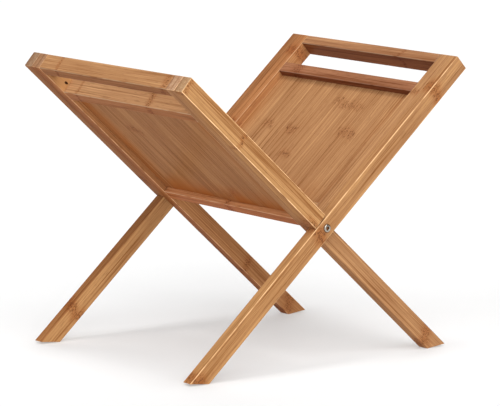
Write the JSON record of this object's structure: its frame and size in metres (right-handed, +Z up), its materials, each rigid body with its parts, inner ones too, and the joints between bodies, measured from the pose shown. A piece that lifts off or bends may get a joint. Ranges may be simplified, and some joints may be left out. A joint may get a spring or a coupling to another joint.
{
  "type": "photo album stand",
  "caption": "Bamboo stand that holds a photo album open in the angle of two crossed frames, each with a panel and a handle slot, joined by pivot bolts.",
  "frame": {"origin": "centre of the footprint, on the table that the heels of the four legs stand on", "axes": "+Z up; +X from the feet of the outer frame towards its top rail, across the open angle; +Y from the front legs to the back legs, along the pivot bolts"},
  "size_m": [0.4104, 0.3134, 0.3453],
  "materials": {
    "bamboo_leg": "caramel bamboo, satin lacquer, grain along the leg",
    "bamboo_stile_board": "caramel bamboo, satin lacquer, grain along the board",
    "bamboo_rail": "caramel bamboo, satin lacquer, grain along the rail",
    "bamboo_panel": "caramel bamboo laminated from narrow strips, satin lacquer",
    "beech_dowel": "plain turned beech, unfinished",
    "chrome_steel": "polished chrome",
    "zinc_steel": "zinc plated",
    "brass": "plain brass"
  },
  "bodies": {
    "outer_frame": {"outer_leg_front": "bamboo_leg", "outer_leg_back": "bamboo_leg", "lining_stile_front": "bamboo_stile_board", "lining_stile_back": "bamboo_stile_board", "outer_frame_top_rail": "bamboo_rail", "outer_frame_top_dowel_front_1": "beech_dowel", "outer_frame_top_dowel_front_2": "beech_dowel", "outer_frame_top_dowel_back_1": "beech_dowel", "outer_frame_top_dowel_back_2": "beech_dowel", "outer_frame_middle_rail": "bamboo_rail", "outer_frame_middle_dowel_front_1": "beech_dowel", "outer_frame_middle_dowel_front_2": "beech_dowel", "outer_frame_middle_dowel_back_1": "beech_dowel", "outer_frame_middle_dowel_back_2": "beech_dowel", "outer_frame_bottom_rail": "bamboo_rail", "outer_frame_bottom_dowel_front_1": "beech_dowel", "outer_frame_bottom_dowel_front_2": "beech_dowel", "outer_frame_bottom_dowel_back_1": "beech_dowel", "outer_frame_bottom_dowel_back_2": "beech_dowel", "outer_frame_panel": "bamboo_panel"},
    "inner_frame": {"inner_leg_front": "bamboo_leg", "inner_leg_back": "bamboo_leg", "facing_stile_front": "bamboo_stile_board", "facing_stile_back": "bamboo_stile_board", "inner_frame_top_rail": "bamboo_rail", "inner_frame_top_dowel_front_1": "beech_dowel", "inner_frame_top_dowel_front_2": "beech_dowel", "inner_frame_top_dowel_back_1": "beech_dowel", "inner_frame_top_dowel_back_2": "beech_dowel", "inner_frame_middle_rail": "bamboo_rail", "inner_frame_middle_dowel_front_1": "beech_dowel", "inner_frame_middle_dowel_front_2": "beech_dowel", "inner_frame_middle_dowel_back_1": "beech_dowel", "inner_frame_middle_dowel_back_2": "beech_dowel", "inner_frame_bottom_rail": "bamboo_rail", "inner_frame_bottom_dowel_front_1": "beech_dowel", "inner_frame_bottom_dowel_front_2": "beech_dowel", "inner_frame_bottom_dowel_back_1": "beech_dowel", "inner_frame_bottom_dowel_back_2": "beech_dowel", "inner_frame_panel": "bamboo_panel", "pivot_bolt_front": "chrome_steel", "pivot_washer_front": "zinc_steel", "threaded_insert_front": "brass", "pivot_bolt_back": "chrome_steel", "pivot_washer_back": "zinc_steel", "threaded_insert_back": "brass"}
  },
  "joints": [
    {"name": "frame_pivot", "type": "hinge", "parent": "outer_frame", "child": "inner_frame", "pos_m": [0, 0, 0.16069], "axis": [0, 1, 0], "range_deg": [0, 13.5]}
  ]
}
